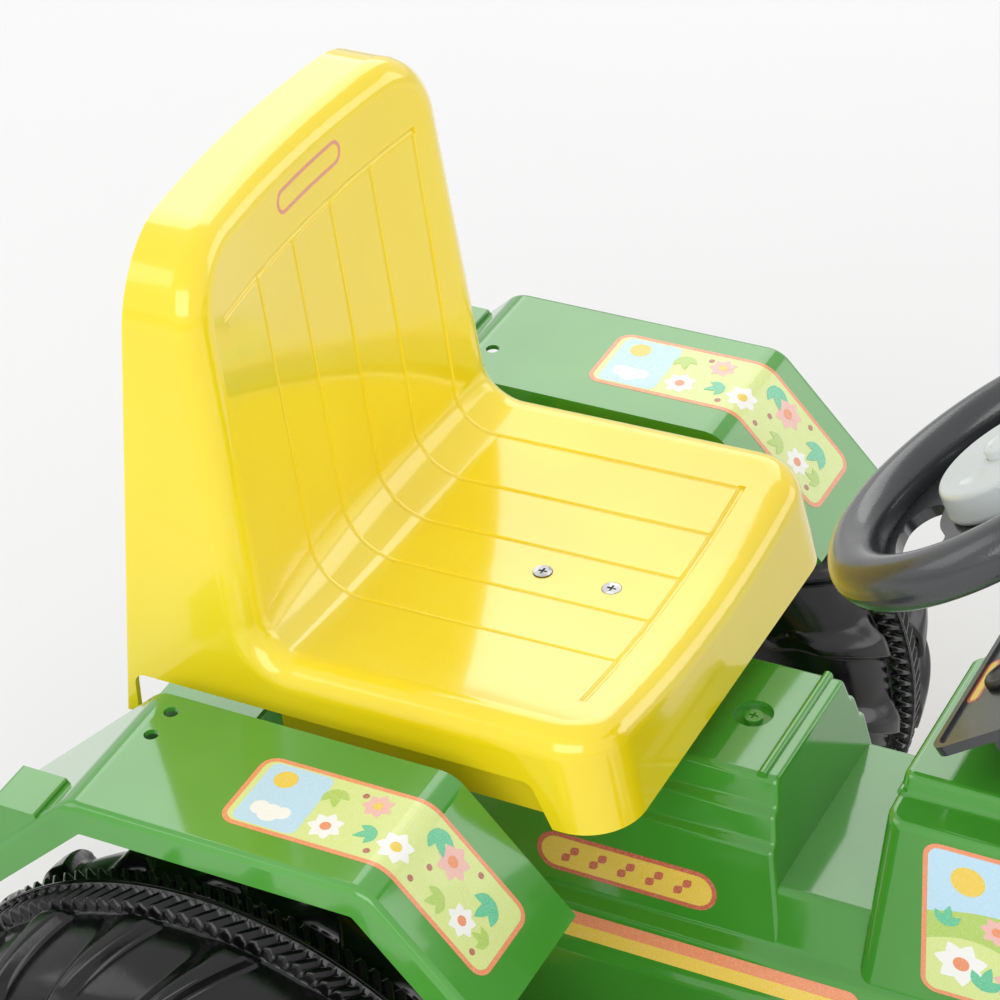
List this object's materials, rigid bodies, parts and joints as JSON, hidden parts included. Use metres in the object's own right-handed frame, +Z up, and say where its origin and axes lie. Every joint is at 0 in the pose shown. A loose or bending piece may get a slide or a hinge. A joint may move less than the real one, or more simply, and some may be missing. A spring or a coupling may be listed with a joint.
{
  "type": "ride on tractor toy",
  "caption": "Pedal tractor for a small child: moulded shell on a steel channel, bucket-style seat, fenders, lugged wheels, steered front axle and chain drive.",
  "frame": {"origin": "on the ground, under the middle of the part's box", "axes": "+X forward, +Y to the rider's left, +Z up"},
  "size_m": [0.857, 0.545, 0.581],
  "materials": {
    "seat_yellow": "moulded, soft gloss",
    "body_green": "moulded, soft gloss",
    "tyre_black": "blow-moulded, satin",
    "rim_yellow": "moulded, soft gloss",
    "trim_grey": "moulded, fine grain",
    "hub_grey": "moulded, fine grain",
    "black_plastic": "moulded, satin",
    "lamp_clear": "clear moulded",
    "frame_black": "powder coat",
    "steel": "zinc plated"
  },
  "bodies": {
    "chassis": {"chassis_frame": "frame_black", "undertray": "black_plastic", "tray_screws": "steel", "body_shell": "body_green", "shell_screws": "body_green", "dash_panel": "trim_grey", "dash_plug": "black_plastic", "grille": "black_plastic", "headlights": "lamp_clear", "right_fender": "body_green", "left_fender": "body_green", "fender_screws": "steel", "rear_crossmember": "body_green", "seat": "seat_yellow", "seat_riser": "black_plastic", "seat_screws": "steel", "tow_hitch": "frame_black", "hitch_bolts": "steel", "front_axle_beam": "frame_black", "steering_upper_bush": "black_plastic", "steering_lower_bush": "black_plastic", "rear_axle_bushes": "black_plastic", "crank_bushes": "black_plastic", "drive_chain": "steel"},
    "steering": {"steering_wheel": "trim_grey", "steering_hub_cover": "hub_grey", "steering_shaft": "steel", "steering_nut": "steel"},
    "horn": {"horn_button": "black_plastic"},
    "right_knuckle": {"right_knuckle": "frame_black", "right_kingpin_clip": "steel", "right_tie_clip": "steel", "front_right_nut": "steel"},
    "left_knuckle": {"left_knuckle": "frame_black", "left_kingpin_clip": "steel", "left_tie_clip": "steel", "front_left_nut": "steel"},
    "tie_rod": {"tie_rod": "frame_black"},
    "front_right_wheel": {"front_right_tyre": "tyre_black", "front_right_rim": "rim_yellow", "front_right_hub_cap": "black_plastic"},
    "front_left_wheel": {"front_left_tyre": "tyre_black", "front_left_rim": "rim_yellow", "front_left_hub_cap": "black_plastic"},
    "rear_axle": {"rear_axle": "steel", "rear_axle_spacers": "steel", "rear_axle_nuts": "steel", "rear_sprocket": "steel", "rear_right_tyre": "tyre_black", "rear_right_rim": "rim_yellow", "rear_right_hub_cap": "black_plastic"},
    "rear_left_wheel": {"rear_left_tyre": "tyre_black", "rear_left_rim": "rim_yellow", "rear_left_hub_cap": "black_plastic"},
    "crank": {"crank_shaft": "steel", "crank_sprocket": "steel", "right_pedal_cap": "black_plastic", "left_pedal_cap": "black_plastic"},
    "right_pedal": {"right_pedal": "black_plastic"},
    "left_pedal": {"left_pedal": "black_plastic"}
  },
  "joints": [
    {"name": "steering_turn", "type": "hinge", "parent": "chassis", "child": "steering", "pos_m": [0.0548, 0, 0.4931], "axis": [-0.5736, 0, 0.8192], "range_deg": [-40, 40]},
    {"name": "horn_press", "type": "slide", "parent": "steering", "child": "horn", "axis": [0.5736, 0, -0.8192], "range_m": [0, 0.0025], "stiffness_N_per_m": 1200},
    {"name": "right_knuckle_turn", "type": "hinge", "parent": "chassis", "child": "right_knuckle", "pos_m": [0.3335, -0.105, 0.138], "axis": [0, 0, 1], "range_deg": [-25, 25]},
    {"name": "left_knuckle_turn", "type": "hinge", "parent": "chassis", "child": "left_knuckle", "pos_m": [0.3335, 0.105, 0.138], "axis": [0, 0, 1], "range_deg": [-25, 25]},
    {"name": "tie_rod_turn", "type": "hinge", "parent": "right_knuckle", "child": "tie_rod", "pos_m": [0.2615, -0.105, 0.1158], "axis": [0, 0, 1], "range_deg": [-25, 25]},
    {"name": "front_right_wheel_spin", "type": "hinge", "parent": "right_knuckle", "child": "front_right_wheel", "pos_m": [0.3335, -0.165, 0.095], "axis": [0, 1, 0], "continuous": true},
    {"name": "front_left_wheel_spin", "type": "hinge", "parent": "left_knuckle", "child": "front_left_wheel", "pos_m": [0.3335, 0.165, 0.095], "axis": [0, 1, 0], "continuous": true},
    {"name": "rear_axle_spin", "type": "hinge", "parent": "chassis", "child": "rear_axle", "pos_m": [-0.2385, 0, 0.164], "axis": [0, 1, 0], "continuous": true, "deforming": ["drive_chain"]},
    {"name": "rear_left_wheel_spin", "type": "hinge", "parent": "chassis", "child": "rear_left_wheel", "pos_m": [-0.2385, 0.216, 0.164], "axis": [0, 1, 0], "continuous": true},
    {"name": "crank_spin", "type": "hinge", "parent": "chassis", "child": "crank", "pos_m": [0.1298, 0, 0.164], "axis": [0, 1, 0], "continuous": true},
    {"name": "right_pedal_spin", "type": "hinge", "parent": "crank", "child": "right_pedal", "pos_m": [0.1938, -0.132, 0.164], "axis": [0, 1, 0], "continuous": true},
    {"name": "left_pedal_spin", "type": "hinge", "parent": "crank", "child": "left_pedal", "pos_m": [0.0658, 0.132, 0.164], "axis": [0, 1, 0], "continuous": true}
  ],
  "couplings": [
    {"joint": "right_knuckle_turn", "follows": "steering_turn", "ratio": 0.62},
    {"joint": "left_knuckle_turn", "follows": "steering_turn", "ratio": 0.62},
    {"joint": "tie_rod_turn", "follows": "steering_turn", "ratio": -0.62},
    {"joint": "crank_spin", "follows": "rear_axle_spin", "ratio": 1}
  ]
}
